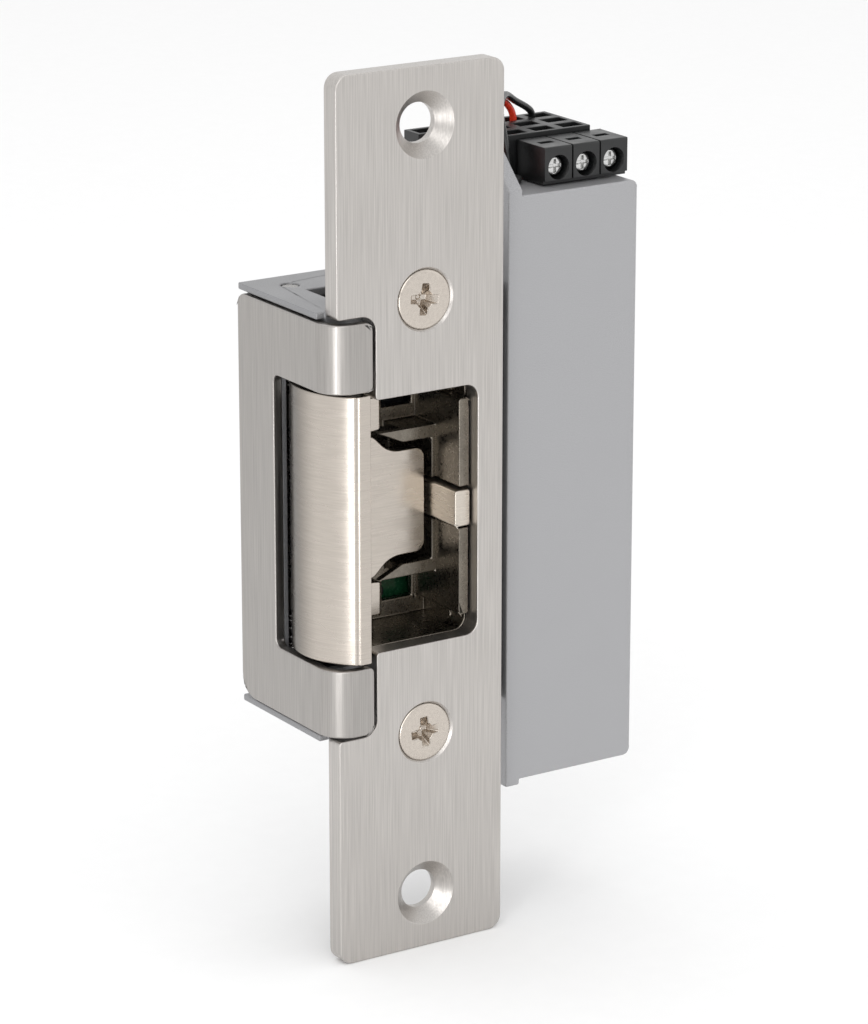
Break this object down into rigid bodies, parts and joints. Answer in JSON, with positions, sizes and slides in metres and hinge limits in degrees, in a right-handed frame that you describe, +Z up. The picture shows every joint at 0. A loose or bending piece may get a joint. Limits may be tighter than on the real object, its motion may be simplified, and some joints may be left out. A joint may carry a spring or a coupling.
{
  "type": "electric door strike",
  "caption": "Electric door strike: flat faceplate with a lip bracket, a swinging keeper, a boxed solenoid lock and a screw terminal block on top.",
  "frame": {"origin": "centre of the faceplate's back face, where it seats on the door frame", "axes": "+X across the faceplate towards the solenoid case, +Y back into the door frame, +Z up along the faceplate"},
  "size_m": [0.0628, 0.0312, 0.1492],
  "materials": {
    "plate_steel": "brushed stainless steel, vertical grain",
    "bracket_steel": "brushed stainless steel, fine vertical grain",
    "screw_nickel": "nickel-plated steel, satin",
    "housing_zinc": "silver-grey satin paint on zinc",
    "frame_casting": "nickel-plated zinc casting, as cast",
    "keeper_nickel": "satin nickel-plated steel",
    "spring_steel": "drawn spring steel",
    "sensor_steel": "satin steel",
    "switch_plastic": "moulded black plastic",
    "board_laminate": "green solder mask",
    "plunger_nickel": "turned and nickel-plated steel",
    "yoke_zinc": "zinc-plated steel",
    "bobbin_plastic": "moulded natural nylon",
    "winding_copper": "enamelled copper wire",
    "case_paint": "silver-grey satin paint",
    "grommet_rubber": "black rubber",
    "terminal_plastic": "moulded black nylon",
    "header_plastic": "moulded black nylon",
    "terminal_screw": "bright zinc-plated steel",
    "lead_red": "red PVC insulation",
    "lead_black": "black PVC insulation"
  },
  "bodies": {
    "strike_body": {"faceplate": "plate_steel", "lip_bracket": "bracket_steel", "faceplate_screw_upper": "screw_nickel", "faceplate_screw_lower": "screw_nickel", "latch_housing": "housing_zinc", "latch_frame": "frame_casting", "keeper_pivot_pin": "spring_steel", "keeper_spring_upper": "spring_steel", "keeper_spring_lower": "spring_steel", "sensor_spring": "spring_steel", "sensor_switch": "switch_plastic", "circuit_board": "board_laminate", "rocker_pin": "spring_steel", "plunger_spring": "spring_steel", "solenoid_yoke": "yoke_zinc", "coil_bobbin": "bobbin_plastic", "coil_winding": "winding_copper", "solenoid_case": "case_paint", "case_rear_cover": "case_paint", "case_grommet": "grommet_rubber", "case_rivet_upper": "screw_nickel", "case_rivet_lower": "screw_nickel", "cover_lug_upper": "yoke_zinc", "cover_lug_lower": "yoke_zinc", "cover_screw_upper": "screw_nickel", "cover_screw_lower": "screw_nickel", "terminal_plug": "terminal_plastic", "terminal_header": "header_plastic", "terminal_screw_1": "terminal_screw", "terminal_screw_2": "terminal_screw", "terminal_screw_3": "terminal_screw", "coil_lead_red": "lead_red", "coil_lead_black": "lead_black"},
    "keeper": {"keeper": "keeper_nickel"},
    "latch_sensor": {"latch_sensor_arm": "sensor_steel"},
    "switch_lever": {"sensor_switch_lever": "spring_steel"},
    "plunger": {"plunger": "plunger_nickel"},
    "rocker": {"rocker": "sensor_steel"},
    "slider": {"locking_slider": "spring_steel"}
  },
  "joints": [
    {"name": "keeper_swing", "type": "hinge", "parent": "strike_body", "child": "keeper", "pos_m": [-0.011, 0.0188, 0], "axis": [0, 0, -1], "range_deg": [0, 45], "stiffness_Nm_per_rad": 0.05, "springref_deg": -5.73, "deforming": ["keeper_spring_upper", "keeper_spring_lower"]},
    {"name": "sensor_slide", "type": "slide", "parent": "strike_body", "child": "latch_sensor", "axis": [0, 1, 0], "range_m": [0, 0.0025], "stiffness_N_per_m": 120, "springref_m": -0.002, "deforming": ["sensor_spring"]},
    {"name": "switch_lever_turn", "type": "hinge", "parent": "strike_body", "child": "switch_lever", "pos_m": [0.0142, 0.013, 0.017], "axis": [1, 0, 0], "range_deg": [0, 13.5]},
    {"name": "plunger_slide", "type": "slide", "parent": "strike_body", "child": "plunger", "axis": [0, 0, 1], "range_m": [0, 0.004], "stiffness_N_per_m": 120, "springref_m": -0.004, "deforming": ["plunger_spring"]},
    {"name": "rocker_turn", "type": "hinge", "parent": "strike_body", "child": "rocker", "pos_m": [0.0254, 0.011, -0.011], "axis": [0, -1, 0], "range_deg": [0, 21]},
    {"name": "slider_slide", "type": "slide", "parent": "strike_body", "child": "slider", "axis": [-1, 0, 0], "range_m": [0, 0.0041]}
  ],
  "couplings": [
    {"joint": "switch_lever_turn", "follows": "sensor_slide", "rad_per_m": 92.2},
    {"joint": "rocker_turn", "follows": "plunger_slide", "rad_per_m": 90.909},
    {"joint": "slider_slide", "follows": "plunger_slide", "ratio": 1}
  ]
}
